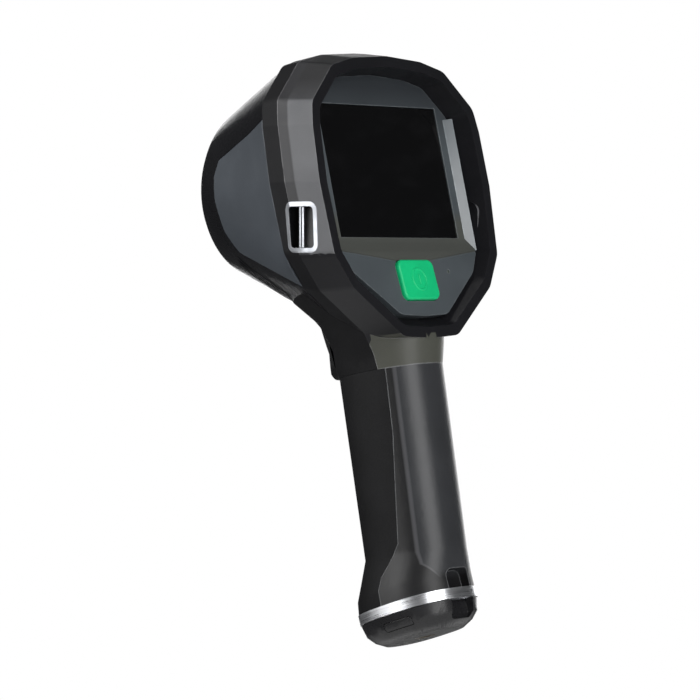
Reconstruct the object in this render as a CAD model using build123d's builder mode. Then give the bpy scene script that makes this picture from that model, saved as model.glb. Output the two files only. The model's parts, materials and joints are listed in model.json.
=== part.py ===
from build123d import *
import os
from math import copysign, cos, hypot, pi, radians, sin, tan

os.makedirs("parts", exist_ok=True)

# Handheld thermal imaging camera, in millimetres and degrees.
# Origin: the mouth of the tripod thread, in the middle of the foot's underside.
# +Z is up from the foot, +Y is forward, the way the lens looks, and +X is the user's right.

# ---- overall sizes ----
HEAD_WIDTH = 125.0        # across the hood at its seam
SCREEN_HEIGHT = 210.0     # middle of the display above the foot's underside
SCREEN_SETBACK = 44.9     # middle of the display behind the tripod thread
LENS_TILT = 18.0          # the lens axis points up from the plane of the foot
RIM_TILT = 11.85          # the hood's rim leans forward from square to the lens axis
SCREEN_TILT = 13.65       # so does the display
GRIP_LEAN = 7.8           # the handle leans back as it rises
GRIP_SETBACK = 1.2        # the handle's axis meets the foot's underside behind the thread
GRIP_HALF_WIDTH = 19.5
GRIP_HALF_DEPTH = 25.0
GRIP_TOP = 123.0          # along the handle's axis
FOOT_HALF_WIDTH = 23.0
FOOT_HALF_DEPTH = 27.5

# ---- hood ----
HOOD_RISE = 9.9           # the rim stands this far behind the display
HOOD_SIDE = 13.2          # the rearmost facet
HOOD_DEPTH = 19.3         # from the rim to the seam
BUMPER_DEPTH = 10.7
SIDE_SWELL = 1.6          # how much wider the hood is at the end of its rearmost facet
SEAM_SWELL = 2.1
FRONT_SWELL = 0.5
LIP = 5.0                 # width of the rim's flat face
RECESS_DRAFT = 3.0        # the recess narrows by this much down to the panel
CORNER_ROUND = 8.0
WALL = 3.0
LEDGE = 5.0               # hood wall behind the panel

# ---- nose and lens ----
LENS_DROP = 8.0           # lens axis below the display's middle
NOSE_REACH = 80.0         # along the lens axis, ahead of the display
NOSE_RADIUS = 41.0
NOSE_EDGE = 2.5
BARREL_RADIUS = 25.0
BARREL_WALL = 3.0
SEAL_WIDTH = 1.6
OBJECTIVE_THICK = 4.0
RING_PROUD = 1.2
SHUTTER_THICK = 5.4
SHUTTER_APERTURE = 9.0
FLAG_RADIUS = 10.0
FLAG_ARM = 19.0
FLAG_OPEN = 65.0          # degrees from covering the lens to parked
FLAG_THICK = 0.8
CORE_SIZE = 30.0
CHASSIS_AT = 34.0
CHASSIS_THICK = 3.0

# ---- side panels ----
PANEL_THICK = 1.6
PANEL_GAP = 0.15

# ---- display and chin ----
SCREEN_WIDTH = 83.0
SCREEN_TALL = 62.5
SCREEN_THICK = 2.0
SCREEN_SUNK = 0.5
BEZEL_THICK = 3.0
BEZEL_GAP = 0.15
SCREEN_GAP = 0.15
RAMP_TOP = -31.5          # where the ramp below the display starts
CHIN_TOP = -40.0
CHIN_RISE = 3.6
CHIN_SLOPE = 4.5
LCD_WIDTH = 90.0
LCD_TALL = 66.0
LCD_THICK = 5.0
BOARD_WIDTH = 101.0
BOARD_TALL = 54.0
BOARD_THICK = 1.6
POST_REACH = 9.0
POST_RADIUS = 2.2
POST_X = 47.8
POST_Y = 23.0
SCREW_RADIUS = 1.0
SCREW_HEAD_RADIUS = 2.0
SCREW_HEAD = 1.4

# ---- power button ----
BUTTON_WIDTH = 24.8
BUTTON_TALL = 19.2
BUTTON_ROUND = 3.6
BUTTON_PROUD = 2.0
BUTTON_DOWN = 12.8        # below the top of the chin
BUTTON_GAP = 0.25
BUTTON_TRAVEL = 1.0
BUTTON_FLANGE = 1.2       # how far the flange stands out, and its thickness
CHIN_SKIN = 2.4
RUNNING_GAP = 0.3         # between a moving piece and its stops

# ---- strap anchors ----
STRAP_DROP = 26.2         # below the display's middle
STRAP_LONG = 18.0         # along the lens axis
STRAP_TALL = 23.0
STRAP_WALL = 2.2
STRAP_DEPTH = 9.0
STRAP_BACKING = 0.3       # hood plastic behind the anchor
STRAP_PIN_SUNK = 1.9      # middle of the pin, inside the hood's skin
STRAP_ROUND = 4.0
STRAP_PIN_RADIUS = 1.5

# ---- handle ----
SHELL = 2.5
FLARE_TOP = 38.0          # along the handle's axis
BAND_BOTTOM = 12.0
BAND_TOP = 16.7
LINER_AHEAD = 1.2         # the battery sits this far ahead of the handle's axis
LINER_HALF_WIDTH = 14.0
LINER_HALF_DEPTH = 16.5
LINER_WALL = 1.2
LINER_TOP = 112.0
LINER_ROUND = 7.0
FLANGE = 2.0
BATTERY_BOTTOM = 12.2     # along the handle's axis
BATTERY_TOP = 104.0
BATTERY_GAP = 0.3
BAND_PROUD = 0.3
STRAP_SLOT = 7.0          # half the width of the slot behind the strap bar
STRAP_BAR = 1.6
SLOT_BACK = 21.9          # the slot's inner face, behind the thread
NOTCH_TOP = 25.5
NOTCH_BOTTOM = 3.0
NOTCH_WALL = 1.6

# ---- base cap ----
CAP_GAP = 0.3             # below the band
# the cap's rounded underside: height, and how far it is drawn in there
CAP_STEPS = ((0.0, 8.5), (2.6, 4.2), (6.0, 1.3))
THREAD_RADIUS = 2.55      # tapping size of a 1/4-20 thread
THREAD_LENGTH = 8.0
INSERT_RADIUS = 5.0
LATCH_LONG = 16.4
LATCH_TALL = 4.2
LATCH_AT = (-3.8, 6.6)    # forward of the thread, and above the foot
LATCH_THICK = 3.6
LATCH_TRAVEL = 1.2
SEAL_TALL = 0.95

NECK_PAD_WIDTH = 30.0
NECK_PAD_BOTTOM = 125.6
NECK_PAD_TALL = 40.0
NECK_PAD_PROUD = 2.3
LIGHT_AT = (24.5, -8.5)   # from the middle of the chin's top
LIGHT_RADIUS = 0.9
LIGHT_LONG = 5.0
SCREW_REACH = 5.0
DOME_TALL = 0.8
FLAG_PIN = 1.0
REAR_LENS_RADIUS = 14.0
REAR_LENS_THICK = 3.0
FOOT_SCREW_X = 17.3
FOOT_SCREW_Y = 12.0
FOOT_BOSS = 2.4
BOSS_TALL = 9.0
FOOT_SCREW_REACH = 8.0    # above the band

# the neck's sections: rise above the handle, half width, half depth, and middle along Y
NECK = ((6, 20.6, 26.9, -19.1), (15, 24.5, 25.5, -21.3), (28, 33.0, 25.9, -22.1), (40, 42.0, 29.7, -19.1))
HEAD_SPOKES = 24

OVAL = 2.4                # roundness of the handle: 2 is an ellipse
FOOT_OVAL = 2.5

# ---- reference planes ----
HEAD = Plane(
    origin=(0, -SCREEN_SETBACK, SCREEN_HEIGHT),
    x_dir=(1, 0, 0),
    z_dir=(0, -cos(radians(LENS_TILT)), -sin(radians(LENS_TILT))),
)
RIM = Plane(HEAD.location * Pos(0, 0, HOOD_RISE) * Rot(-RIM_TILT, 0, 0))
PANEL = Plane(HEAD.location * Rot(-SCREEN_TILT, 0, 0))
CHIN = Plane(PANEL.location * Pos(0, CHIN_TOP, CHIN_RISE) * Rot(-CHIN_SLOPE, 0, 0))
GRIP = Plane(
    origin=(0, -GRIP_SETBACK, 0),
    x_dir=(1, 0, 0),
    z_dir=(0, -sin(radians(GRIP_LEAN)), cos(radians(GRIP_LEAN))),
)
LENS = Plane(HEAD.location * Pos(0, -LENS_DROP, 0))
SIDE = Plane(origin=HEAD.origin, x_dir=-HEAD.z_dir, z_dir=(1, 0, 0))

CAP_TOP = BAND_BOTTOM - CAP_GAP
SEAM = HOOD_DEPTH
BUMPER_FRONT = HOOD_DEPTH + BUMPER_DEPTH
HALF = HEAD_WIDTH / 2
FAR = 400.0               # longer than the whole object, for cutting


def hood_plane(depth):
    """The rim's plane, moved forward along the lens axis."""
    return Plane(origin=RIM.origin - HEAD.z_dir * depth, x_dir=(1, 0, 0), z_dir=RIM.z_dir)


def mirrored(half):
    """A closed outline from its right half, listed from the top to the bottom."""
    return half + [(-x, y) for x, y in reversed(half) if x > 0]


def inset(corners, gap):
    """A clockwise outline with every side moved inwards by gap."""
    sides = []
    for (x1, y1), (x2, y2) in zip(corners, corners[1:] + corners[:1]):
        length = hypot(x2 - x1, y2 - y1)
        across, along = (y2 - y1) / length, -(x2 - x1) / length
        sides.append((across, along, across * x1 + along * y1 + gap))
    moved = []
    for (a1, b1, c1), (a2, b2, c2) in zip(sides[-1:] + sides[:-1], sides):
        turn = a1 * b2 - a2 * b1
        moved.append(((c1 * b2 - c2 * b1) / turn, (a1 * c2 - a2 * c1) / turn))
    return moved


# The rim's outer edge: shares of the half width, and heights from the display's middle
HOOD = mirrored(
    [(0.0, 54.3)]
    + [
        (HALF * share, height)
        for share, height in (
            (0.376, 52.6),
            (0.630, 48.6),
            (0.912, 31.0),
            (0.945, 20.0),
            (0.966, -6.0),
            (0.928, -39.0),
            (0.778, -54.5),
            (0.310, -77.0),
        )
    ]
    + [(0.0, -78.0)]
)


def facet_face(plane, corners, radius=CORNER_ROUND):
    """A flat face with straight sides and rounded corners."""
    with BuildSketch(plane) as face:
        Polygon(*corners, align=None)
        fillet(face.vertices(), radius)
    return face.sketch


def curved_face(plane, points):
    """A flat face inside one closed smooth curve."""
    with BuildSketch(plane) as face:
        with BuildLine():
            Spline(*points, periodic=True)
        make_face()
    return face.sketch


def oval_face(plane, half_width, half_depth, power=OVAL, middle=0.0, count=20):
    """A rounded rectangle-like oval."""
    points = []
    for step in range(count):
        angle = 2 * pi * step / count
        x = half_width * copysign(abs(cos(angle)) ** (2 / power), cos(angle))
        y = half_depth * copysign(abs(sin(angle)) ** (2 / power), sin(angle))
        points.append((x, y + middle))
    return curved_face(plane, points)


def box_face(plane, width, depth, radius, middle=(0.0, 0.0)):
    """A rectangle with rounded corners."""
    with BuildSketch(plane) as face:
        with Locations(middle):
            RectangleRounded(width, depth, radius)
    return face.sketch


def battery_section(height, sunk):
    """A section of the battery's tube across the handle's axis, drawn in by sunk."""
    return box_face(
        GRIP.offset(height), 2 * (LINER_HALF_WIDTH - sunk), 2 * (LINER_HALF_DEPTH - sunk),
        LINER_ROUND - sunk, (0, LINER_AHEAD),
    )


def spoke(corners, angle):
    """Distance from the lens axis to an outline, along one direction."""
    dx, dy = cos(angle), sin(angle)
    reach = 0.0
    for (x1, y1), (x2, y2) in zip(corners, corners[1:] + corners[:1]):
        y1, y2 = y1 + LENS_DROP, y2 + LENS_DROP
        turn = dx * (y2 - y1) - dy * (x2 - x1)
        if abs(turn) > 1e-9:
            along = (x1 * (y2 - y1) - y1 * (x2 - x1)) / turn
            share = (x1 * dy - y1 * dx) / turn
            if along > 0 and -1e-9 <= share <= 1 + 1e-9:
                reach = max(reach, along)
    return reach


def head_section(plane, roundness, sunk):
    """A section of the front body: the hood's outline at 0, a circle round the lens at 1."""
    points = []
    for step in range(HEAD_SPOKES):
        angle = 2 * pi * step / HEAD_SPOKES
        wide = spoke(inset(HOOD, -FRONT_SWELL), angle)
        radius = wide * (1 - roundness) + NOSE_RADIUS * roundness - sunk
        points.append((radius * cos(angle), radius * sin(angle) - LENS_DROP))
    return curved_face(plane, points)


def head_body(sunk, front):
    """The front body's whole volume, with its skin moved in by sunk."""
    sections = [
        head_section(hood_plane(BUMPER_FRONT), 0, sunk),
        head_section(HEAD.offset(-NOSE_REACH + sunk), 1, sunk),
    ]
    if front:
        sections.append(head_section(HEAD.offset(-NOSE_REACH - NOSE_EDGE), 1, NOSE_EDGE))
    with BuildPart() as body:
        loft(sections=sections, ruled=True)
    return body.part


def neck_body(grow, top=4):
    """The neck's volume, from the handle's top up into the head."""
    joint_height = GRIP_TOP * cos(radians(GRIP_LEAN))
    sections = [oval_face(GRIP.offset(GRIP_TOP), GRIP_HALF_WIDTH + grow, GRIP_HALF_DEPTH + grow)]
    for rise, half_width, half_depth, middle in NECK[:top]:
        plane = Plane.XY.offset(joint_height + rise)
        sections.append(oval_face(plane, half_width + grow, half_depth + grow, OVAL, middle))
    with BuildPart() as body:
        loft(sections=sections, ruled=True)
    return body.part


def grip_body(sunk):
    """The handle's volume above the band."""
    sections = [
        oval_face(Plane.XY.offset(BAND_TOP), FOOT_HALF_WIDTH - sunk, FOOT_HALF_DEPTH - sunk, FOOT_OVAL),
        oval_face(
            Plane.XY.offset(BAND_TOP + 6), FOOT_HALF_WIDTH - 0.4 - sunk,
            FOOT_HALF_DEPTH - 0.5 - sunk, FOOT_OVAL, -0.6,
        ),
        oval_face(GRIP.offset(FLARE_TOP), GRIP_HALF_WIDTH - 0.4 - sunk, GRIP_HALF_DEPTH - 0.6 - sunk),
        oval_face(GRIP.offset(GRIP_TOP), GRIP_HALF_WIDTH - sunk, GRIP_HALF_DEPTH - sunk),
    ]
    with BuildPart() as body:
        loft(sections=sections, ruled=True)
    return body.part


def side_prism(side, gap):
    """The side panel's outline, seen from the side, as a long prism on one side."""
    outline = [
        (-6, -53), (10, -53), (57, -37.5), (64, -28), (68.5, -13), (69, -2),
        (66, 5.5), (50, 12), (37, 17), (22, 24), (-6, 24),
    ]
    with BuildPart() as prism:
        with BuildSketch(SIDE.offset(20 * side)):
            Polygon(*outline, align=None)
            if gap:
                offset(amount=-gap, kind=Kind.INTERSECTION)
        extrude(amount=60 * side)
    return prism.part


def finish(piece, name):
    """Labels a finished piece and writes it."""
    piece.label = name
    export_step(piece, f"parts/{name}.step")


# ---- shared volumes ----
with BuildPart() as hood_volume:
    loft(
        sections=[
            facet_face(RIM, HOOD),
            facet_face(hood_plane(HOOD_SIDE), inset(HOOD, -SIDE_SWELL)),
            facet_face(hood_plane(SEAM), inset(HOOD, -SEAM_SWELL)),
        ],
        ruled=True,
    )
head_outer = head_body(0, True)
head_under = head_body(PANEL_THICK, False)
head_inner = head_body(WALL, False)
neck_outer = neck_body(0)
neck_inner = neck_body(-WALL, 1)
grip_outer = grip_body(0)
grip_inner = grip_body(SHELL)
with BuildPart() as behind_seam:
    with BuildSketch(hood_plane(SEAM)):
        Rectangle(FAR, FAR)
    extrude(amount=FAR)

# Hollow inside the hood, from the back of the panel to the seam
with BuildPart() as hood_hollow:
    loft(
        sections=[
            facet_face(PANEL.offset(-BEZEL_THICK), inset(HOOD, LEDGE)),
            facet_face(hood_plane(SEAM), inset(HOOD, LEDGE)),
        ],
        ruled=True,
    )

# ---- strap anchors: a framed cup and a pin on each side of the hood ----
strap_outer_x = HALF - 0.9


def strap_block(side, grow, depth):
    """The block that a strap anchor fills, let in from the hood's side."""
    with BuildPart() as block:
        with BuildSketch(SIDE.offset(side * (strap_outer_x + 6))):
            with Locations((0, -STRAP_DROP)):
                RectangleRounded(STRAP_LONG + 2 * grow, STRAP_TALL + 2 * grow, STRAP_ROUND + grow)
        extrude(amount=-side * (depth + 6))
    return block.part


# Outer shape of the rubber band, before it is hollowed
with BuildPart() as bumper_volume:
    loft(
        sections=[
            facet_face(hood_plane(SEAM), inset(HOOD, -SEAM_SWELL)),
            facet_face(hood_plane(BUMPER_FRONT), inset(HOOD, -FRONT_SWELL)),
        ],
        ruled=True,
    )
strap_space = hood_volume.part + bumper_volume.part

# ---- rear housing: hood and the back of the neck ----
with BuildPart() as rear_housing:
    add(hood_volume.part)
    add(neck_outer & behind_seam.part)
    loft(
        sections=[
            facet_face(RIM.offset(0.01), inset(HOOD, LIP)),
            facet_face(PANEL, inset(HOOD, LIP + RECESS_DRAFT)),
        ],
        ruled=True,
        mode=Mode.SUBTRACT,
    )
    extrude(
        facet_face(PANEL.offset(-BEZEL_THICK), inset(HOOD, LIP + RECESS_DRAFT)),
        amount=BEZEL_THICK,
        mode=Mode.SUBTRACT,
    )
    # nothing of the neck stands behind the recess
    extrude(facet_face(RIM, inset(HOOD, LIP)), amount=BEZEL_THICK, mode=Mode.SUBTRACT)
    add(hood_hollow.part, mode=Mode.SUBTRACT)
    for side in (-1, 1):
        add(strap_block(side, WALL / 2, STRAP_DEPTH + STRAP_BACKING) & hood_volume.part)
        add(strap_block(side, 0, STRAP_DEPTH), mode=Mode.SUBTRACT)
    add(neck_inner, mode=Mode.SUBTRACT)
finish(rear_housing.part, "rear_housing")

for side, name in ((-1, "left"), (1, "right")):
    with BuildPart() as strap_bezel:
        add(strap_block(side, 0, STRAP_DEPTH) & strap_space)
        add(strap_block(side, -STRAP_WALL, STRAP_DEPTH - STRAP_WALL / 2), mode=Mode.SUBTRACT)
    finish(strap_bezel.part, f"strap_bezel_{name}")

with BuildPart() as strap_pins:
    with BuildSketch(Plane(HEAD.location * Pos(0, -STRAP_DROP, 0) * Rot(-90, 0, 0))):
        with GridLocations(2 * (strap_outer_x - STRAP_PIN_SUNK), 0, 2, 1):
            Circle(STRAP_PIN_RADIUS)
    extrude(amount=STRAP_TALL / 2 - STRAP_WALL, both=True)
finish(strap_pins.part, "strap_pins")

# ---- rubber band round the hood ----
with BuildPart() as hood_bumper:
    add(bumper_volume.part)
    loft(
        sections=[
            facet_face(hood_plane(SEAM - 0.01), inset(HOOD, LEDGE)),
            facet_face(hood_plane(BUMPER_FRONT + 0.01), inset(HOOD, LEDGE)),
        ],
        ruled=True,
        mode=Mode.SUBTRACT,
    )
    for side in (-1, 1):
        add(strap_block(side, WALL / 2, STRAP_DEPTH + STRAP_BACKING) & bumper_volume.part)
        add(strap_block(side, 0, STRAP_DEPTH), mode=Mode.SUBTRACT)
    add(neck_outer, mode=Mode.SUBTRACT)
finish(hood_bumper.part, "hood_bumper")

# ---- front body, side panels and the front of the neck ----
with BuildPart() as front_housing:
    add(head_outer)
    add(head_inner, mode=Mode.SUBTRACT)
    add(neck_outer, mode=Mode.SUBTRACT)
    with BuildSketch(LENS.offset(-NOSE_REACH + 2 * WALL)):
        Circle(BARREL_RADIUS + SEAL_WIDTH)
    extrude(amount=-4 * WALL, mode=Mode.SUBTRACT)
    for side in (-1, 1):
        add((side_prism(side, 0) & head_outer) - head_under, mode=Mode.SUBTRACT)
finish(front_housing.part, "front_housing")

for side, name in ((-1, "left"), (1, "right")):
    with BuildPart() as side_panel:
        add((side_prism(side, PANEL_GAP) & head_outer) - head_under)
        add(neck_outer, mode=Mode.SUBTRACT)
    finish(side_panel.part, f"side_panel_{name}")

with BuildPart() as neck_front:
    add(neck_outer - behind_seam.part)
    add(head_inner, mode=Mode.SUBTRACT)
    add(neck_inner, mode=Mode.SUBTRACT)
    add(hood_hollow.part, mode=Mode.SUBTRACT)
    with BuildSketch(Plane.XY.offset(GRIP_TOP)):
        with Locations((0, -12)):
            Circle(10)
    extrude(amount=70, mode=Mode.SUBTRACT)
finish(neck_front.part, "neck_front")

with BuildPart() as neck_pad:
    with BuildSketch(Plane.XZ.offset(-2)):
        with Locations((0, NECK_PAD_BOTTOM + NECK_PAD_TALL / 2)):
            RectangleRounded(NECK_PAD_WIDTH, NECK_PAD_TALL, 6)
    extrude(amount=-FAR / 4)
    add(neck_body(NECK_PAD_PROUD), mode=Mode.INTERSECT)
    add(neck_outer, mode=Mode.SUBTRACT)
    add(head_outer, mode=Mode.SUBTRACT)
finish(neck_pad.part, "neck_pad")

# ---- display panel with its ramp and chin ----
panel_edge = inset(HOOD, LIP + RECESS_DRAFT + BEZEL_GAP)
chin_end = CHIN_TOP - 34
with BuildPart() as bezel_panel:
    with BuildSketch(Plane(PANEL.origin, x_dir=PANEL.y_dir, z_dir=PANEL.x_dir)):
        Polygon(
            (60, 0), (60, -BEZEL_THICK), (chin_end, -BEZEL_THICK),
            (chin_end, CHIN_RISE + (CHIN_TOP - chin_end) * tan(radians(CHIN_SLOPE))),
            (CHIN_TOP, CHIN_RISE), (RAMP_TOP, 0),
            align=None,
        )
    extrude(amount=HALF, both=True)
    extrude(facet_face(PANEL.offset(-BEZEL_THICK), panel_edge), amount=20, mode=Mode.INTERSECT)
    with BuildSketch(PANEL):
        Rectangle(SCREEN_WIDTH + 2 * SCREEN_GAP, SCREEN_TALL + 2 * SCREEN_GAP)
    extrude(amount=-BEZEL_THICK, mode=Mode.SUBTRACT)
    # room behind the chin for the button, and posts for the board
    with BuildSketch(CHIN.offset(-CHIN_SKIN)):
        with Locations((0, -BUTTON_DOWN)):
            RectangleRounded(BUTTON_WIDTH + 5, BUTTON_TALL + 5, BUTTON_ROUND + 1)
    extrude(amount=-20, mode=Mode.SUBTRACT)
    with BuildSketch(CHIN):
        with Locations((0, -BUTTON_DOWN)):
            RectangleRounded(
                BUTTON_WIDTH + 2 * BUTTON_GAP, BUTTON_TALL + 2 * BUTTON_GAP, BUTTON_ROUND + BUTTON_GAP,
            )
    extrude(amount=-CHIN_SKIN, mode=Mode.SUBTRACT)
    with BuildSketch(CHIN):
        with Locations(LIGHT_AT):
            Circle(LIGHT_RADIUS)
    extrude(amount=-LIGHT_LONG, mode=Mode.SUBTRACT)
    with BuildSketch(PANEL.offset(-BEZEL_THICK)):
        with GridLocations(2 * POST_X, 2 * POST_Y, 2, 2):
            Circle(POST_RADIUS)
    extrude(amount=-POST_REACH)
    with BuildSketch(PANEL.offset(-BEZEL_THICK - POST_REACH)):
        with GridLocations(2 * POST_X, 2 * POST_Y, 2, 2):
            Circle(SCREW_RADIUS)
    extrude(amount=SCREW_REACH, mode=Mode.SUBTRACT)
finish(bezel_panel.part, "bezel_panel")

with BuildPart() as status_light:
    with BuildSketch(CHIN):
        with Locations(LIGHT_AT):
            Circle(LIGHT_RADIUS)
    extrude(amount=-LIGHT_LONG)
finish(status_light.part, "status_light")

with BuildPart() as screen_window:
    extrude(box_face(PANEL.offset(-SCREEN_SUNK), SCREEN_WIDTH, SCREEN_TALL, 0.5), amount=-SCREEN_THICK)
finish(screen_window.part, "screen_window")

with BuildPart() as screen_gasket:
    with BuildSketch(PANEL.offset(-SCREEN_SUNK - SCREEN_THICK)):
        Rectangle(SCREEN_WIDTH, SCREEN_TALL)
        Rectangle(SCREEN_WIDTH - 5, SCREEN_TALL - 5, mode=Mode.SUBTRACT)
    extrude(amount=-(BEZEL_THICK - SCREEN_SUNK - SCREEN_THICK))
finish(screen_gasket.part, "screen_gasket")

with BuildPart() as lcd_module:
    extrude(box_face(PANEL.offset(-BEZEL_THICK), LCD_WIDTH, LCD_TALL, 1), amount=-LCD_THICK)
finish(lcd_module.part, "lcd_module")

board_plane = PANEL.offset(-BEZEL_THICK - POST_REACH)
with BuildPart() as main_board:
    with BuildSketch(board_plane):
        RectangleRounded(BOARD_WIDTH, BOARD_TALL, 2)
        with GridLocations(2 * POST_X, 2 * POST_Y, 2, 2):
            Circle(SCREW_RADIUS, mode=Mode.SUBTRACT)
    extrude(amount=-BOARD_THICK)
    # the larger components on the board
    with BuildSketch(board_plane.offset(-BOARD_THICK)):
        with Locations((-22, 6)):
            Rectangle(18, 18)
        with Locations((14, 10), (14, -8), (32, 10), (32, -8)):
            Rectangle(12, 9)
        with Locations((-18, -16)):
            Rectangle(24, 6)
    extrude(amount=-1.5)
finish(main_board.part, "main_board")

with BuildPart() as board_screws:
    with BuildSketch(board_plane.offset(-BOARD_THICK)):
        with GridLocations(2 * POST_X, 2 * POST_Y, 2, 2):
            Circle(SCREW_HEAD_RADIUS)
    extrude(amount=-SCREW_HEAD)
    with BuildSketch(board_plane.offset(-BOARD_THICK)):
        with GridLocations(2 * POST_X, 2 * POST_Y, 2, 2):
            Circle(SCREW_RADIUS)
    extrude(amount=BOARD_THICK + SCREW_REACH)
finish(board_screws.part, "board_screws")

# ---- power button, its seal and its switch ----
with BuildPart() as power_button:
    with BuildSketch(CHIN.offset(-CHIN_SKIN - RUNNING_GAP)):
        with Locations((0, -BUTTON_DOWN)):
            RectangleRounded(BUTTON_WIDTH, BUTTON_TALL, BUTTON_ROUND)
    extrude(amount=CHIN_SKIN + RUNNING_GAP + BUTTON_PROUD)
    fillet(power_button.faces().sort_by(Axis(CHIN.origin, CHIN.z_dir))[-1].edges(), 1.2)
    with BuildSketch(CHIN.offset(-CHIN_SKIN - RUNNING_GAP)):
        with Locations((0, -BUTTON_DOWN)):
            RectangleRounded(
                BUTTON_WIDTH + 2 * BUTTON_FLANGE, BUTTON_TALL + 2 * BUTTON_FLANGE, BUTTON_ROUND + BUTTON_FLANGE,
            )
    extrude(amount=-BUTTON_FLANGE)
finish(power_button.part, "power_button")

pressed = CHIN_SKIN + RUNNING_GAP + BUTTON_FLANGE + BUTTON_TRAVEL + RUNNING_GAP
with BuildPart() as switch_board:
    with BuildSketch(CHIN.offset(-pressed - DOME_TALL)):
        with Locations((0, -BUTTON_DOWN)):
            RectangleRounded(BUTTON_WIDTH + 4, BUTTON_TALL + 4, BUTTON_ROUND)
    extrude(amount=-BOARD_THICK)
    with BuildSketch(CHIN.offset(-pressed - DOME_TALL)):
        with Locations((0, -BUTTON_DOWN)):
            Circle(4)
    extrude(amount=DOME_TALL)
finish(switch_board.part, "switch_board")

# ---- infrared core, shutter and lens ----
with BuildPart() as chassis:
    with BuildSketch(LENS.offset(-CHASSIS_AT)):
        Circle(FAR / 4)
    extrude(amount=-CHASSIS_THICK)
    add(head_body(WALL + 0.1, False), mode=Mode.INTERSECT)
    with BuildSketch(LENS.offset(-CHASSIS_AT)):
        Rectangle(CORE_SIZE - 8, CORE_SIZE - 8)
        with Locations((0, 32), (30, 16), (-30, 16), (34, -16), (-34, -16)):
            Circle(7)
    extrude(amount=-CHASSIS_THICK, mode=Mode.SUBTRACT)
    add(neck_outer, mode=Mode.SUBTRACT)
finish(chassis.part, "chassis")

core_front = CHASSIS_AT + CHASSIS_THICK + CORE_SIZE
with BuildPart() as detector_core:
    extrude(
        box_face(LENS.offset(-CHASSIS_AT - CHASSIS_THICK), CORE_SIZE, CORE_SIZE, 2),
        amount=-CORE_SIZE,
    )
finish(detector_core.part, "detector_core")

shutter_radius = FLAG_ARM + FLAG_RADIUS + 3.5
shutter_back = LENS.offset(-core_front)
with BuildPart() as shutter_housing:
    with BuildSketch(shutter_back):
        Circle(shutter_radius)
    extrude(amount=-SHUTTER_THICK)
    with BuildSketch(shutter_back.offset(-1.2)):
        Circle(shutter_radius - 1.2)
    extrude(amount=-(SHUTTER_THICK - 2.4), mode=Mode.SUBTRACT)
    with BuildSketch(shutter_back):
        Circle(SHUTTER_APERTURE)
    extrude(amount=-SHUTTER_THICK, mode=Mode.SUBTRACT)
    with BuildSketch(shutter_back):
        with Locations((FLAG_ARM, 0)):
            Circle(FLAG_PIN)
    extrude(amount=-SHUTTER_THICK)
finish(shutter_housing.part, "shutter_housing")

open_x = FLAG_ARM - FLAG_ARM * cos(radians(FLAG_OPEN))
open_y = FLAG_ARM * sin(radians(FLAG_OPEN))
with BuildPart() as shutter_flag:
    with BuildSketch(shutter_back.offset(-1.2 - RUNNING_GAP - 0.5)):
        with Locations((open_x, open_y)):
            Circle(FLAG_RADIUS)
        with Locations((FLAG_ARM, 0)):
            Circle(FLAG_PIN + 1.5)
        with BuildLine():
            Polyline(
                (FLAG_ARM - 2, 0), (FLAG_ARM + 2, 0), (open_x + 3, open_y), (open_x - 3, open_y), close=True,
            )
        make_face()
    extrude(amount=-FLAG_THICK)
    with BuildSketch(shutter_back.offset(-1.2 - RUNNING_GAP)):
        with Locations((FLAG_ARM, 0)):
            Circle(FLAG_PIN + 1.5)
    extrude(amount=-(SHUTTER_THICK - 2.4 - 2 * RUNNING_GAP))
    with BuildSketch(shutter_back):
        with Locations((FLAG_ARM, 0)):
            Circle(FLAG_PIN + 0.05)
    extrude(amount=-SHUTTER_THICK, mode=Mode.SUBTRACT)
finish(shutter_flag.part, "shutter_flag")

with BuildPart() as shutter_motor:
    with BuildSketch(shutter_back):
        with Locations((FLAG_ARM + 0.5, 0)):
            Circle(3.2)
    extrude(amount=14)
finish(shutter_motor.part, "shutter_motor")

barrel_back = core_front + SHUTTER_THICK
with BuildPart() as lens_barrel:
    with BuildSketch(LENS.offset(-barrel_back)):
        Circle(BARREL_RADIUS)
    extrude(amount=-(NOSE_REACH + NOSE_EDGE + 1 - barrel_back))
    with BuildSketch(LENS.offset(-barrel_back)):
        Circle(REAR_LENS_RADIUS)
    extrude(amount=-FAR / 4, mode=Mode.SUBTRACT)
    with BuildSketch(LENS.offset(-barrel_back - REAR_LENS_THICK - 1)):
        Circle(REAR_LENS_RADIUS + 3)
    extrude(amount=-FAR / 4, mode=Mode.SUBTRACT)
    with BuildSketch(LENS.offset(-NOSE_REACH + 2)):
        Circle(BARREL_RADIUS - BARREL_WALL)
    extrude(amount=-FAR / 4, mode=Mode.SUBTRACT)
finish(lens_barrel.part, "lens_barrel")

with BuildPart() as rear_lens:
    with BuildSketch(LENS.offset(-barrel_back)):
        Circle(REAR_LENS_RADIUS)
    extrude(amount=-REAR_LENS_THICK)
finish(rear_lens.part, "rear_lens")

with BuildPart() as objective_lens:
    with BuildSketch(LENS.offset(-NOSE_REACH + 2)):
        Circle(BARREL_RADIUS - BARREL_WALL)
    extrude(amount=-OBJECTIVE_THICK)
    fillet(objective_lens.edges().sort_by(Axis(LENS.origin, -LENS.z_dir))[-1], 1.0)
finish(objective_lens.part, "objective_lens")

with BuildPart() as lens_seal:
    with BuildSketch(LENS.offset(-NOSE_REACH + WALL - 0.6)):
        Circle(BARREL_RADIUS + SEAL_WIDTH)
        Circle(BARREL_RADIUS, mode=Mode.SUBTRACT)
    extrude(amount=-1.8)
finish(lens_seal.part, "lens_seal")

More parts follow.
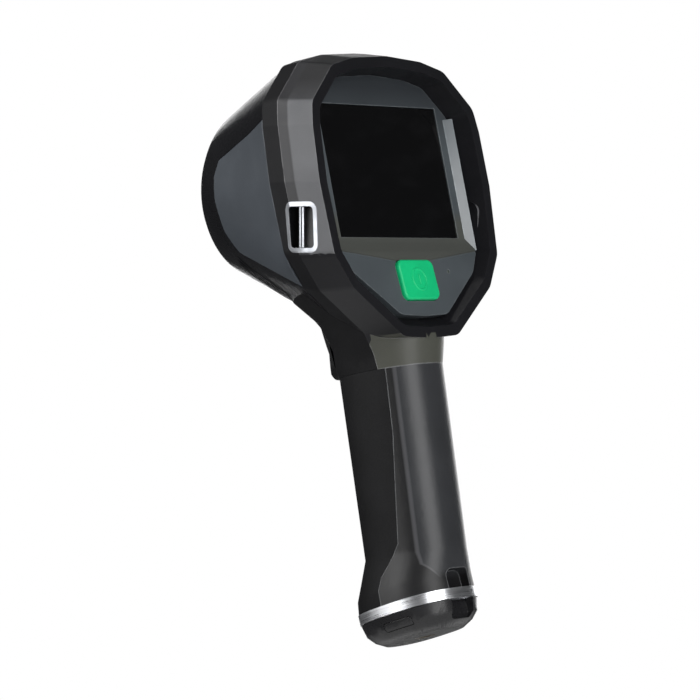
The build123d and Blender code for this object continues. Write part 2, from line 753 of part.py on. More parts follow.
with BuildPart() as front_bumper:
    with BuildSketch(LENS.offset(-NOSE_REACH - NOSE_EDGE)):
        Circle(NOSE_RADIUS - NOSE_EDGE - 0.5)
        Circle(BARREL_RADIUS + SEAL_WIDTH, mode=Mode.SUBTRACT)
    extrude(amount=-RING_PROUD)
    fillet(front_bumper.edges().sort_by(Axis(LENS.origin, -LENS.z_dir))[-2:], 1.0)
finish(front_bumper.part, "front_bumper")

# ---- handle ----
seam_line = [
    (60, BAND_TOP - 1), (2, BAND_TOP - 1), (2, 24), (-0.5, 29.5), (-6, 34.5), (-13, 42),
    (-15.5, 52), (-25, 91), (-29.5, 119), (-29.5, 140), (60, 140),
]
with BuildPart() as ahead_of_grip_seam:
    with BuildSketch(Plane.YZ):
        Polygon(*seam_line, align=None)
    extrude(amount=FAR / 4, both=True)

with BuildPart() as liner_space:
    extrude(battery_section(0, 0), amount=LINER_TOP)

with BuildPart() as notch:
    with BuildSketch(Plane.XZ.offset(SLOT_BACK)):
        with Locations((0, (NOTCH_TOP + NOTCH_BOTTOM) / 2)):
            RectangleRounded(2 * STRAP_SLOT + 1, NOTCH_TOP - NOTCH_BOTTOM, 3)
    extrude(amount=FAR / 4)
with BuildPart() as notch_wall:
    with BuildSketch(Plane.XZ.offset(SLOT_BACK - NOTCH_WALL)):
        with Locations((0, (NOTCH_TOP + BAND_TOP + NOTCH_WALL) / 2)):
            Rectangle(2 * STRAP_SLOT + 5, NOTCH_TOP + NOTCH_WALL - BAND_TOP)
    extrude(amount=FAR / 4)

with BuildPart() as grip_shell:
    add(grip_outer)
    add(grip_inner, mode=Mode.SUBTRACT)
    add(notch_wall.part & grip_outer)
    with BuildSketch(Plane.XY.offset(BAND_TOP + FLANGE)):
        with GridLocations(2 * FOOT_SCREW_X, 2 * FOOT_SCREW_Y, 2, 2):
            Circle(FOOT_BOSS)
    extrude(amount=BOSS_TALL)
    add(grip_outer, mode=Mode.INTERSECT)
    with BuildSketch(Plane.XY.offset(BAND_TOP)):
        with GridLocations(2 * FOOT_SCREW_X, 2 * FOOT_SCREW_Y, 2, 2):
            Circle(SCREW_RADIUS)
    extrude(amount=FOOT_SCREW_REACH, mode=Mode.SUBTRACT)
    add(notch.part, mode=Mode.SUBTRACT)
    add(liner_space.part, mode=Mode.SUBTRACT)

with BuildPart() as grip_rear_shell:
    add(grip_shell.part - ahead_of_grip_seam.part)
finish(grip_rear_shell.part, "grip_rear_shell")
with BuildPart() as grip_front:
    add(grip_shell.part & ahead_of_grip_seam.part)
finish(grip_front.part, "grip_front")

with BuildPart() as foot_band:
    extrude(
        oval_face(
            Plane.XY.offset(BAND_BOTTOM), FOOT_HALF_WIDTH + BAND_PROUD, FOOT_HALF_DEPTH + BAND_PROUD, FOOT_OVAL,
        ),
        amount=BAND_TOP - BAND_BOTTOM,
    )
    add(liner_space.part, mode=Mode.SUBTRACT)
    with BuildSketch(Plane.XY.offset(BAND_BOTTOM)):
        with Locations((0, -(SLOT_BACK + FOOT_HALF_DEPTH + BAND_PROUD - STRAP_BAR) / 2)):
            Rectangle(2 * STRAP_SLOT, FOOT_HALF_DEPTH + BAND_PROUD - STRAP_BAR - SLOT_BACK)
    extrude(amount=BAND_TOP - BAND_BOTTOM, mode=Mode.SUBTRACT)
    with BuildSketch(Plane.XY.offset(BAND_BOTTOM)):
        with GridLocations(2 * FOOT_SCREW_X, 2 * FOOT_SCREW_Y, 2, 2):
            Circle(SCREW_HEAD_RADIUS)
    extrude(amount=SCREW_HEAD, mode=Mode.SUBTRACT)
    with BuildSketch(Plane.XY.offset(BAND_BOTTOM)):
        with GridLocations(2 * FOOT_SCREW_X, 2 * FOOT_SCREW_Y, 2, 2):
            Circle(SCREW_RADIUS)
    extrude(amount=BAND_TOP - BAND_BOTTOM, mode=Mode.SUBTRACT)
finish(foot_band.part, "foot_band")

with BuildPart() as foot_screws:
    with BuildSketch(Plane.XY.offset(BAND_BOTTOM)):
        with GridLocations(2 * FOOT_SCREW_X, 2 * FOOT_SCREW_Y, 2, 2):
            Circle(SCREW_HEAD_RADIUS)
    extrude(amount=SCREW_HEAD)
    with BuildSketch(Plane.XY.offset(BAND_BOTTOM)):
        with GridLocations(2 * FOOT_SCREW_X, 2 * FOOT_SCREW_Y, 2, 2):
            Circle(SCREW_RADIUS)
    extrude(amount=BAND_TOP - BAND_BOTTOM + FOOT_SCREW_REACH)
finish(foot_screws.part, "foot_screws")

with BuildPart() as battery_tube:
    add(liner_space.part)
    extrude(
        oval_face(
            Plane.XY.offset(BAND_TOP), FOOT_HALF_WIDTH - SHELL - 0.8, FOOT_HALF_DEPTH - SHELL - 0.8, FOOT_OVAL,
        ),
        amount=FLANGE,
    )
    extrude(battery_section(0, LINER_WALL), amount=LINER_TOP, mode=Mode.SUBTRACT)
    with BuildSketch(Plane.XY.offset(BAND_TOP)):
        Rectangle(FAR, FAR)
    extrude(amount=-FAR / 4, mode=Mode.SUBTRACT)
    add(notch_wall.part, mode=Mode.SUBTRACT)
    with BuildSketch(Plane.XY.offset(BAND_TOP)):
        with GridLocations(2 * FOOT_SCREW_X, 2 * FOOT_SCREW_Y, 2, 2):
            Circle(SCREW_RADIUS)
    extrude(amount=FLANGE, mode=Mode.SUBTRACT)
finish(battery_tube.part, "battery_tube")

with BuildPart() as battery_contacts:
    extrude(battery_section(LINER_TOP - 3, LINER_WALL), amount=3)
    with BuildSketch(GRIP.offset(LINER_TOP - 3)):
        with GridLocations(6, 0, 3, 1):
            Circle(1.2)
    extrude(amount=-(LINER_TOP - 3 - BATTERY_TOP - RUNNING_GAP))
finish(battery_contacts.part, "battery_contacts")

battery_face = battery_section(BATTERY_BOTTOM, LINER_WALL + BATTERY_GAP)
with BuildPart() as battery:
    extrude(battery_face, amount=BATTERY_TOP - BATTERY_BOTTOM)
finish(battery.part, "battery")

# ---- base cap, with its catches and tripod thread ----
with BuildPart() as cap_volume:
    cap_steps = CAP_STEPS + ((CAP_TOP, 0.0),)
    loft(
        sections=[
            oval_face(Plane.XY.offset(height), FOOT_HALF_WIDTH - drawn, FOOT_HALF_DEPTH - drawn, FOOT_OVAL)
            for height, drawn in cap_steps
        ],
        ruled=True,
    )


def latch_block(side, shrink, inner):
    """The space of one press catch, from inner out past the cap's side."""
    with BuildPart() as block:
        with BuildSketch(Plane.YZ.offset(side * inner)):
            with Locations(LATCH_AT):
                RectangleRounded(LATCH_LONG - 2 * shrink, LATCH_TALL - 2 * shrink, 1.2 - shrink)
        extrude(amount=side * 20)
    return block.part


latch_inner = FOOT_HALF_WIDTH - LATCH_THICK
with BuildPart() as base_cap:
    add(cap_volume.part)
    extrude(battery_face, amount=FAR / 4, mode=Mode.SUBTRACT)
    with BuildSketch():
        Circle(INSERT_RADIUS)
    extrude(amount=THREAD_LENGTH, mode=Mode.SUBTRACT)
    add(notch.part, mode=Mode.SUBTRACT)
    for side in (-1, 1):
        add(latch_block(side, 0, latch_inner - LATCH_TRAVEL - RUNNING_GAP), mode=Mode.SUBTRACT)
    extrude(
        oval_face(Plane.XY.offset(CAP_TOP), FOOT_HALF_WIDTH - 2, FOOT_HALF_DEPTH - 2, FOOT_OVAL)
        - oval_face(Plane.XY.offset(CAP_TOP), FOOT_HALF_WIDTH - 3.6, FOOT_HALF_DEPTH - 3.6, FOOT_OVAL),
        amount=-SEAL_TALL + 0.15,
        mode=Mode.SUBTRACT,
    )
finish(base_cap.part, "base_cap")

with BuildPart() as cap_seal:
    extrude(
        oval_face(Plane.XY.offset(CAP_TOP + 0.15), FOOT_HALF_WIDTH - 2, FOOT_HALF_DEPTH - 2, FOOT_OVAL)
        - oval_face(Plane.XY.offset(CAP_TOP + 0.15), FOOT_HALF_WIDTH - 3.6, FOOT_HALF_DEPTH - 3.6, FOOT_OVAL),
        amount=-SEAL_TALL,
    )
    add(notch.part, mode=Mode.SUBTRACT)
finish(cap_seal.part, "cap_seal")

with BuildPart() as tripod_insert:
    with BuildSketch():
        Circle(INSERT_RADIUS)
        Circle(THREAD_RADIUS, mode=Mode.SUBTRACT)
    extrude(amount=THREAD_LENGTH)
finish(tripod_insert.part, "tripod_insert")

for side, name in ((-1, "left"), (1, "right")):
    with BuildPart() as latch:
        add(latch_block(side, RUNNING_GAP, latch_inner) & cap_volume.part)
    finish(latch.part, f"latch_{name}")
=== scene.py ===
import json
import math

import bpy
from mathutils import Matrix, Vector

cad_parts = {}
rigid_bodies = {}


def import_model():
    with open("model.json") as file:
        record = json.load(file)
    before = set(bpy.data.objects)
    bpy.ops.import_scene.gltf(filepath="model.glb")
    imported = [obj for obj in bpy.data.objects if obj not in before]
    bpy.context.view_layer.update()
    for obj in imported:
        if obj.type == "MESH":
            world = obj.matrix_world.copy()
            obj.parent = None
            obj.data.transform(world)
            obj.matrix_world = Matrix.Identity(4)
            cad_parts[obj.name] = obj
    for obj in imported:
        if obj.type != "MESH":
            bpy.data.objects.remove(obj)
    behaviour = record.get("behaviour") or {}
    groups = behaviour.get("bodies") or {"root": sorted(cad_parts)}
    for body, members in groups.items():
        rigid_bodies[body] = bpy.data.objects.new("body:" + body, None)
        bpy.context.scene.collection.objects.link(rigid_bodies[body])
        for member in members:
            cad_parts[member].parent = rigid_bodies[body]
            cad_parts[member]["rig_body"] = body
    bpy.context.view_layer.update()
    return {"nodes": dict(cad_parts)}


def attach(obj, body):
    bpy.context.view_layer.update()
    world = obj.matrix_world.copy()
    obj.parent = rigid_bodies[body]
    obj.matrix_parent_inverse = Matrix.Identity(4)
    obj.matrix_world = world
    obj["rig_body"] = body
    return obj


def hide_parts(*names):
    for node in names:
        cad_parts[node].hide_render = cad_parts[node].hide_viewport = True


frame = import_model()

# The lens looks forward and 18 degrees up; the screen's side looks the other way.
TILT = math.radians(18)
AHEAD = Vector((0, math.cos(TILT), math.sin(TILT)))
HEAD_UP = Vector((0, -math.sin(TILT), math.cos(TILT)))
ACROSS = Vector((1, 0, 0))
SCREEN_MIDDLE = Vector((0, -0.0449, 0.21))
# The hood's upper side corners are this far above the screen's middle.
CORNER = 0.0312
# The painted highlight down the middle of the handle's rear shell reaches this far to each side; painted
# shade lies beyond it.
GRIP_LIT_HALF_WIDTH = 0.0164
# Heights where the neck's olive shell gives way to the hood's dark finish: on its lip, in its recess
# and on its underside. The dark lip is its own colour; in the recess and on the underside the dark finish is
# painted shade.
LIP_LOW = 0.131
RECESS_LOW = 0.1362
UNDERSIDE_LOW = 0.1335
# The display panel's chin ends at this height, and the strap cups' walls start this far out.
CHIN_TOP = 0.176
CUP_FLOOR = 0.0585
# The battery draws out downwards, so the floor lies well below the foot.
FLOOR_HEIGHT = -0.45
OBJECT_MIDDLE = Vector((0, 0, 0.15))


# ---- making pieces -------------------------------------------------------------------------------

def nothing_selected():
    """Leaves edit mode and drops every selection."""
    if bpy.context.object and bpy.context.object.mode != "OBJECT":
        bpy.ops.object.mode_set(mode="OBJECT")
    bpy.ops.object.select_all(action="DESELECT")


def work_on(piece):
    """Makes the piece the only one that operators act on."""
    nothing_selected()
    piece.select_set(True)
    bpy.context.view_layer.objects.active = piece


def added(name):
    """Names the primitive that was just added, and settles it at its place."""
    piece = bpy.context.object
    piece.name = name
    piece.data.name = name
    work_on(piece)
    bpy.ops.object.transform_apply(location=True, rotation=True, scale=True)
    return piece


def edit(piece):
    """Goes into edit mode with nothing selected."""
    work_on(piece)
    bpy.ops.object.mode_set(mode="EDIT")
    bpy.ops.mesh.select_all(action="DESELECT")


def edit_all(piece):
    """Goes into edit mode with everything selected."""
    edit(piece)
    bpy.ops.mesh.select_all(action="SELECT")


def done():
    """Leaves edit mode."""
    bpy.ops.object.mode_set(mode="OBJECT")


def pick_faces(piece, wanted):
    """Selects the faces that wanted(centre, normal) accepts, in edit mode."""
    bpy.ops.object.mode_set(mode="OBJECT")
    for vertex in piece.data.vertices:
        vertex.select = False
    for edge in piece.data.edges:
        edge.select = False
    for face in piece.data.polygons:
        face.select = wanted(face.center, face.normal)
    bpy.ops.object.mode_set(mode="EDIT")
    bpy.ops.mesh.select_mode(type="FACE")


def finish_modifiers(piece):
    """Applies the piece's modifiers in their order."""
    work_on(piece)
    for modifier in list(piece.modifiers):
        bpy.ops.object.modifier_apply(modifier=modifier.name)


def round_edges(piece, width, angle=32, segments=3):
    """Rounds the edges that are sharper than the angle, in degrees."""
    edges = piece.modifiers.new("edges", "BEVEL")
    edges.width = width
    edges.segments = segments
    edges.limit_method = "ANGLE"
    edges.angle_limit = math.radians(angle)
    edges.use_clamp_overlap = True
    edges.miter_outer = "MITER_ARC"
    even = piece.modifiers.new("even", "WEIGHTED_NORMAL")
    even.keep_sharp = True
    finish_modifiers(piece)


def smooth(piece, angle=30):
    """Shades the piece smooth, except at edges sharper than the angle, in degrees."""
    work_on(piece)
    bpy.ops.object.shade_smooth_by_angle(angle=math.radians(angle))


def copy_of(piece, name, move=Matrix()):
    """A copy with a mesh of its own."""
    twin = piece.copy()
    twin.data = piece.data.copy()
    for key in list(twin.keys()):
        del twin[key]
    twin.name = name
    twin.data.name = name
    twin.data.transform(move)
    bpy.context.scene.collection.objects.link(twin)
    twin.parent = None
    return twin


def rounded(node, edge, angle=32):
    """A copy of a CAD node, merged, with rounded edges, that stands for the node."""
    piece = copy_of(frame["nodes"][node], node + "_shell")
    edit_all(piece)
    bpy.ops.mesh.remove_doubles(threshold=0.000012)
    bpy.ops.mesh.customdata_custom_splitnormals_clear()
    bpy.ops.mesh.dissolve_limited(angle_limit=math.radians(0.8))
    done()
    smooth(piece, angle)
    round_edges(piece, edge, angle)
    smooth(piece, angle)
    return piece


def joined(name, pieces):
    """One piece out of several."""
    work_on(pieces[0])
    for other in pieces[1:]:
        other.select_set(True)
    if len(pieces) > 1:
        bpy.ops.object.join()
    pieces[0].name = name
    pieces[0].data.name = name
    return pieces[0]


def side_facing(node, direction):
    """The middle and the normal of the node's widest flat side that faces the direction."""
    sides = {}
    for face in frame["nodes"][node].data.polygons:
        if face.normal.dot(direction) > 0.8:
            key = tuple(round(part, 1) for part in (*face.normal, 200 * face.center.dot(face.normal)))
            sides.setdefault(key, []).append(face)
    widest = max(sides.values(), key=lambda faces: sum(face.area for face in faces))
    area = sum(face.area for face in widest)
    middle = sum((face.center * face.area for face in widest), Vector()) / area
    normal = sum((face.normal * face.area for face in widest), Vector()).normalized()
    return middle, normal


def reach(node, direction):
    """How far the node goes along the direction: lowest and highest."""
    along = [vertex.co.dot(direction) for vertex in frame["nodes"][node].data.vertices]
    return min(along), max(along)


def bar(name, size, edge):
    """A long bar with rounded edges, around the origin."""
    nothing_selected()
    bpy.ops.mesh.primitive_cube_add(size=1)
    piece = added(name)
    edit_all(piece)
    bpy.ops.transform.resize(value=size)
    bpy.ops.mesh.bevel(offset=edge, segments=3, affect="EDGES")
    done()
    return piece


# ---- finishes ------------------------------------------------------------------------------------

class Value:
    """A socket of a finish. Arithmetic on it adds Math nodes."""

    def __init__(self, finish, socket):
        self.finish = finish
        self.socket = socket

    def maths(self, operation, first, second):
        return self.finish.node("ShaderNodeMath", {"operation": operation}, {0: first, 1: second})

    def __add__(self, other):
        return self.maths("ADD", self, other)

    def __sub__(self, other):
        return self.maths("SUBTRACT", self, other)

    def __rsub__(self, other):
        return self.maths("SUBTRACT", other, self)

    def __mul__(self, other):
        return self.maths("MULTIPLY", self, other)

    __radd__ = __add__
    __rmul__ = __mul__


class Finish:
    """A material built up from nodes on the piece's own coordinates."""

    def __init__(self, name):
        self.material = bpy.data.materials.new(name)
        self.material.use_nodes = True
        self.tree = self.material.node_tree
        self.tree.nodes.clear()
        self.shader = self.tree.nodes.new("ShaderNodeBsdfPrincipled")
        output = self.tree.nodes.new("ShaderNodeOutputMaterial")
        self.tree.links.new(self.shader.outputs[0], output.inputs[0])
        self.place = self.node("ShaderNodeTexCoord", output="Object")

    def node(self, kind, settings=None, values=None, output=0):
        """Adds a node: its type, its settings, then the values or links of its sockets."""
        made = self.tree.nodes.new(kind)
        for key, setting in (settings or {}).items():
            setattr(made, key, setting)
        for key, value in (values or {}).items():
            self.put(made.inputs[key], value)
        return Value(self, made.outputs[output])

    def put(self, socket, value):
        if isinstance(value, Value):
            self.tree.links.new(value.socket, socket)
        else:
            socket.default_value = value

    def noise(self, scale, detail=3, stretch=None):
        where = self.place
        if stretch:
            where = self.node("ShaderNodeMapping", None, {"Vector": self.place, "Scale": stretch})
        return self.node("ShaderNodeTexNoise", None, {"Vector": where, "Scale": scale, "Detail": detail})

    def pebbles(self, scale):
        return self.node("ShaderNodeTexVoronoi", None, {"Vector": self.place, "Scale": scale}, "Distance")

    def spread(self, value, low, high, to_low=0.0, to_high=1.0):
        """Stretches the part of a value between low and high over a new range, and stops there."""
        return self.node(
            "ShaderNodeMapRange", None,
            {"Value": value, "From Min": low, "From Max": high, "To Min": to_low, "To Max": to_high},
        )

    def axis(self, name):
        return self.node("ShaderNodeSeparateXYZ", None, {"Vector": self.place}, name)

    def along(self, direction):
        """How far a point lies along a direction."""
        return self.node(
            "ShaderNodeVectorMath", {"operation": "DOT_PRODUCT"}, {0: self.place, 1: direction}, "Value")

    def aside(self):
        """How far a point lies from the middle plane."""
        return self.node("ShaderNodeMath", {"operation": "ABSOLUTE"}, {0: self.axis("X")})

    def mix(self, amount, first, second):
        """A colour between two colours."""
        return self.node("ShaderNodeMix", {"data_type": "RGBA"}, {0: amount, 6: first, 7: second}, 2)

    def edges(self, width):
        """1 along the piece's sharper edges, 0 on its open faces."""
        soft = self.node("ShaderNodeBevel", {"samples": 4}, {"Radius": width})
        plain = self.node("ShaderNodeNewGeometry", output="Normal")
        facing = self.node("ShaderNodeVectorMath", {"operation": "DOT_PRODUCT"}, {0: soft, 1: plain}, "Value")
        return self.spread(facing, 0.995, 0.90)

    def bump(self, height, strength, distance, under=None):
        values = {"Height": height, "Strength": strength, "Distance": distance}
        if under:
            values["Normal"] = under
        return self.node("ShaderNodeBump", None, values)

    def set(self, **sockets):
        for name, value in sockets.items():
            self.put(self.shader.inputs[name.replace("_", " ")], value)
        return self.material


def scaled(colour, amount):
    """The colour made darker or lighter."""
    return (colour[0] * amount, colour[1] * amount, colour[2] * amount, 1)


def moulded(name, colour, rough=0.42, grain=2600, depth=0.00004, wear=0.35, shine=0.5, rub=None):
    """Fine-grained moulded plastic: cloudy colour, handling marks and slightly rubbed edges."""
    f = Finish(name)
    clouds = f.spread(f.noise(38), 0.35, 0.65)
    specks = f.spread(f.noise(grain, 2), 0.3, 0.7)
    marks = f.spread(f.noise(75, 5), 0.52, 0.7)
    rubbed = f.edges(0.0009) * f.spread(f.noise(260, 4), 0.35, 0.6) * wear
    base = f.mix(clouds * 0.7 + specks * 0.3, scaled(colour, 0.86), scaled(colour, 1.12))
    return f.set(
        Base_Color=f.mix(rubbed, base, rub or scaled(colour, 2.1)),
        Roughness=rough - 0.05 + specks * 0.08 + marks * 0.04 - rubbed * 0.12,
        Specular_IOR_Level=shine,
        Normal=f.bump(specks, 0.35, depth),
    )


def hood_plastic():
    """The hood's satin shell: grey facets, painted shade towards the crown and along the seam, olive handle
    back.
    """
    f = Finish("hood_shell")
    seam, seam_normal = side_facing("hood_bumper", -AHEAD)
    behind = f.along(seam_normal) - seam.dot(seam_normal)
    # Painted shade: a near-black band on the hood's side just behind its seam with the bumper.
    band = f.spread(behind, 0.0062, 0.0052) * f.spread(f.axis("Z"), 0.16, 0.175)
    low = f.spread(f.axis("Z"), 0.172, 0.158)
    height = f.along(HEAD_UP) - SCREEN_MIDDLE.dot(HEAD_UP)
    # Painted shade: above its upper side corners the hood's crown turns almost black.
    crown = f.spread(height, CORNER - 0.0005, CORNER + 0.0005) * 0.7
    crown = crown + f.spread(height, CORNER, CORNER + 0.01) * 0.3
    clouds = f.spread(f.noise(34), 0.35, 0.65)
    specks = f.spread(f.noise(2600, 2), 0.3, 0.7)
    marks = f.spread(f.noise(70, 5), 0.52, 0.7)
    rubbed = f.edges(0.0007) * f.spread(f.noise(240, 4), 0.3, 0.55) * 0.6
    cool = f.mix(clouds * 0.6 + specks * 0.4, (0.066, 0.067, 0.072, 1), (0.084, 0.086, 0.092, 1))
    olive = f.mix(clouds * 0.6 + specks * 0.4, (0.048, 0.049, 0.041, 1), (0.06, 0.062, 0.052, 1))
    side = f.mix(crown, f.mix(low, cool, olive), (0.008, 0.008, 0.009, 1))
    shell = f.mix(band, side, (0.012, 0.012, 0.014, 1))
    return f.set(
        Base_Color=f.mix(rubbed, shell, (0.24, 0.24, 0.25, 1)),
        Roughness=0.4 + specks * 0.07 + marks * 0.08 - rubbed * 0.1,
        Specular_IOR_Level=0.28,
        Normal=f.bump(specks, 0.4, 0.00004),
    )


def panel_plastic():
    """The display panel: blue-grey, with painted shade towards its top, olive on the ramp under the screen.
    """
    f = Finish("display_panel")
    height = f.axis("Z")
    # Painted shade: the panel darkens towards its top.
    top = f.spread(height, 0.222, 0.25)
    aside = f.aside()
    above_chin = height - aside * 0.13
    ramp = f.spread(height, 0.192, 0.186) * f.spread(above_chin, 0.1647, 0.1653)
    crease = f.spread(above_chin, 0.1643, 0.1650) * f.spread(above_chin, 0.1657, 0.1650)
    specks = f.spread(f.noise(2400, 2), 0.3, 0.7)
    clouds = f.spread(f.noise(40), 0.35, 0.65)
    rubbed = f.edges(0.0008) * f.spread(f.noise(300, 4), 0.3, 0.6) * 0.4
    plain = f.mix(clouds * 0.5 + specks * 0.5, (0.045, 0.053, 0.059, 1), (0.06, 0.07, 0.077, 1))
    shaded = f.mix(top * 0.85, plain, (0.012, 0.014, 0.017, 1))
    body = f.mix(ramp * 0.85, shaded, (0.058, 0.06, 0.052, 1))
    return f.set(
        Base_Color=f.mix(rubbed, body, (0.2, 0.22, 0.23, 1)),
        Roughness=0.44 + specks * 0.08 - rubbed * 0.1,
        Specular_IOR_Level=0.35,
        Normal=f.bump(crease, 0.6, 0.0004, f.bump(specks, 0.4, 0.00004)),
    )


def rubber(name, colour, rough=0.72, pebble=1500, depth=0.00008, dust=0.5):
    """Matte rubber with a fine pebbled skin and a little dust in its hollows."""
    f = Finish(name)
    skin = f.pebbles(pebble)
    fine = f.noise(5200, 2)
    dusty = f.spread(f.noise(60, 6), 0.5, 0.75) * f.spread(skin, 0.2, 0.7) * dust
    clouds = f.spread(f.noise(45), 0.35, 0.65)
    rubbed = f.edges(0.001) * f.spread(f.noise(180, 3), 0.4, 0.6) * 0.4
    base = f.mix(clouds, scaled(colour, 0.8), scaled(colour, 1.2))
    worn = f.mix(rubbed, base, scaled(colour, 2.0))
    return f.set(
        Base_Color=f.mix(dusty, worn, scaled(colour, 2.4)),
        Roughness=rough + fine * 0.12 - rubbed * 0.2,
        Specular_IOR_Level=0.12,
        Normal=f.bump(skin, 0.5, depth, f.bump(fine, 0.3, depth * 0.5)),
    )


def metal(name, colour, rough=0.25, scratch=0.5):
    """Plain machined metal with hairline scratches and faint tarnish."""
    f = Finish(name)
    scratches = f.spread(f.noise(900, 4, (1, 1, 0.05)), 0.55, 0.7) * scratch
    tarnish = f.spread(f.noise(110, 5), 0.45, 0.7)
    return f.set(
        Base_Color=f.mix(tarnish * 0.5, colour, scaled(colour, 0.72)),
        Roughness=rough + tarnish * 0.12 + scratches * 0.12,
        Metallic=1.0,
        Normal=f.bump(scratches, 0.15, 0.00003),
    )


def brushed_steel():
    """The foot's band: brushed round its length."""
    f = Finish("brushed_band")
    strokes = f.noise(1.0, 6, (60, 60, 5200))
    broad = f.noise(1.0, 3, (25, 25, 900))
    marks = f.spread(f.noise(140, 5), 0.5, 0.72)
    brush = f.spread(strokes * 0.7 + broad * 0.3, 0.35, 0.65)
    return f.set(
        Base_Color=f.mix(brush, (0.55, 0.56, 0.58, 1), (0.82, 0.83, 0.85, 1)),
        Roughness=0.24 + brush * 0.16 + marks * 0.1,
        Metallic=1.0,
        Normal=f.bump(brush, 0.25, 0.00003),
    )


def screen_glass():
    """Cover glass over a dark display, with faint finger smears."""
    f = Finish("cover_glass")
    smears = f.spread(f.noise(55, 6, (1, 1, 2.2)), 0.5, 0.72)
    specks = f.spread(f.noise(1900, 2), 0.72, 0.8)
    return f.set(
        Base_Color=f.mix(smears * 0.5, (0.002, 0.002, 0.0022, 1), (0.005, 0.005, 0.0055, 1)),
        Roughness=0.07 + smears * 0.09 + specks * 0.1,
        Specular_IOR_Level=0.25,
        Coat_Weight=0.15,
    )


def infrared_lens():
    """The coated germanium lens: a dark mirror that turns violet at its rim."""
    f = Finish("infrared_glass")
    rim = f.node("ShaderNodeLayerWeight", None, {"Blend": 0.35}, "Facing")
    motes = f.spread(f.noise(700, 3), 0.68, 0.75)
    cloud = f.noise(60, 3)
    return f.set(
        Base_Color=f.mix(rim, (0.16, 0.17, 0.2, 1), (0.22, 0.12, 0.3, 1)),
        Roughness=0.05 + motes * 0.15 + cloud * 0.04,
        Metallic=0.85,
        Coat_Weight=1.0,
    )


def circuit():
    """A green circuit board with tracks under its lacquer."""
    f = Finish("circuit_board")
    tracks = f.node(
        "ShaderNodeTexBrick", {"offset": 0.5},
        {"Vector": f.place, "Scale": 260, "Mortar Size": 0.03, "Color1": (0, 0, 0, 1),
         "Color2": (0, 0, 0, 1), "Mortar": (1, 1, 1, 1)},
    )
    weave = f.spread(f.noise(900, 2), 0.4, 0.6)
    base = f.mix(weave, (0.006, 0.09, 0.03, 1), (0.01, 0.12, 0.045, 1))
    return f.set(
        Base_Color=f.mix(tracks, base, (0.02, 0.22, 0.09, 1)),
        Roughness=0.32 + weave * 0.1,
        Normal=f.bump(weave, 0.2, 0.00003),
    )


def grip_plastic():
    """The handle's rear shell: charcoal with a painted highlight down its middle, painted shade on its sides,
    and a painted highlight line where they meet.
    """
    f = Finish("grip_shell")
    aside = f.aside() + f.spread(f.axis("Z"), 0.03, 0.022) * 0.006
    # Painted shade: the shell's sides beyond its lighter middle go dark.
    shaded_sides = f.spread(aside, GRIP_LIT_HALF_WIDTH - 0.0006, GRIP_LIT_HALF_WIDTH + 0.0006)
    low = f.spread(f.axis("Z"), 0.026, 0.022)
    # Painted highlight: a light line where the lighter middle meets the shaded sides.
    crease = shaded_sides * (1 - shaded_sides) * 4
    specks = f.spread(f.noise(2600, 2), 0.3, 0.7)
    clouds = f.spread(f.noise(30), 0.35, 0.65)
    rubbed = f.edges(0.0007) * f.spread(f.noise(200, 3), 0.2, 0.5)
    # The lighter middle is a painted highlight and the dark sides are painted shade; the foot is dark too.
    panel = f.mix(clouds * 0.6 + specks * 0.4, (0.02, 0.021, 0.023, 1), (0.03, 0.031, 0.034, 1))
    dark = f.mix(specks, (0.004, 0.004, 0.0045, 1), (0.007, 0.007, 0.0075, 1))
    shell = f.mix(shaded_sides * (1 - low) + low, panel, dark)
    highlight_lined = f.mix(crease * 0.25 * (1 - low), shell, (0.16, 0.16, 0.17, 1))
    return f.set(
        Base_Color=f.mix(rubbed, highlight_lined, (0.14, 0.145, 0.15, 1)),
        Roughness=0.36 + specks * 0.06 + shaded_sides * 0.06,
        Specular_IOR_Level=0.32,
        Normal=f.bump(specks, 0.35, 0.00003),
    )


FINISHES = {
    "hood_plastic": hood_plastic(),
    "bumper_rubber": rubber("bumper_skin", (0.007, 0.007, 0.008), 0.5, 1900, 0.00003, 0.15),
    "black_plastic": moulded("black_shell", (0.005, 0.005, 0.006), 0.28, 3000, 0.00002, 0.25, 0.22),
    "panel_plastic": moulded("slate_panel", (0.046, 0.053, 0.062), 0.38, 2400, 0.00003, 0.4),
    "lens_glass": infrared_lens(),
    "dark_metal": metal("anodised", (0.03, 0.03, 0.034, 1), 0.38),
    "seal_rubber": rubber("seal_skin", (0.02, 0.02, 0.021), 0.7),
    "bezel_plastic": panel_plastic(),
    "screen_glass": screen_glass(),
    "circuit": circuit(),
    "button_rubber": moulded("green_button", (0.004, 0.42, 0.155), 0.45, 3000, 0.00002, 0.12, 0.3),
    "light_plastic": moulded("light_lens", (0.05, 0.06, 0.055), 0.15, 1500, 0.00001, 0.1),
    "bright_metal": metal("polished_frame", (0.3, 0.31, 0.33, 1), 0.3, 0.5),
    "grip_plastic": grip_plastic(),
    "grip_rubber": rubber("grip_skin", (0.006, 0.006, 0.0065), 0.58, 1300, 0.00006, 0.15),
    "band_steel": brushed_steel(),
    "cap_plastic": moulded("cap_shell", (0.008, 0.008, 0.009), 0.3, 2400, 0.00003, 0.35),
    "insert_brass": metal("tripod_brass", (0.1, 0.088, 0.07, 1), 0.45),
    "battery_plastic": moulded("battery_case", (0.03, 0.031, 0.034), 0.5, 2000, 0.00005, 0.2),
    "liner_plastic": moulded("liner", (0.1, 0.1, 0.1), 0.5),
    "contact_brass": metal("contacts", (0.85, 0.65, 0.3, 1), 0.2),
    "screw_steel": metal("screws", (0.45, 0.45, 0.46, 1), 0.3),
    "frame_metal": metal("frame_alloy", (0.5, 0.51, 0.52, 1), 0.4),
    "core_metal": metal("core_case", (0.28, 0.29, 0.3, 1), 0.42),
}
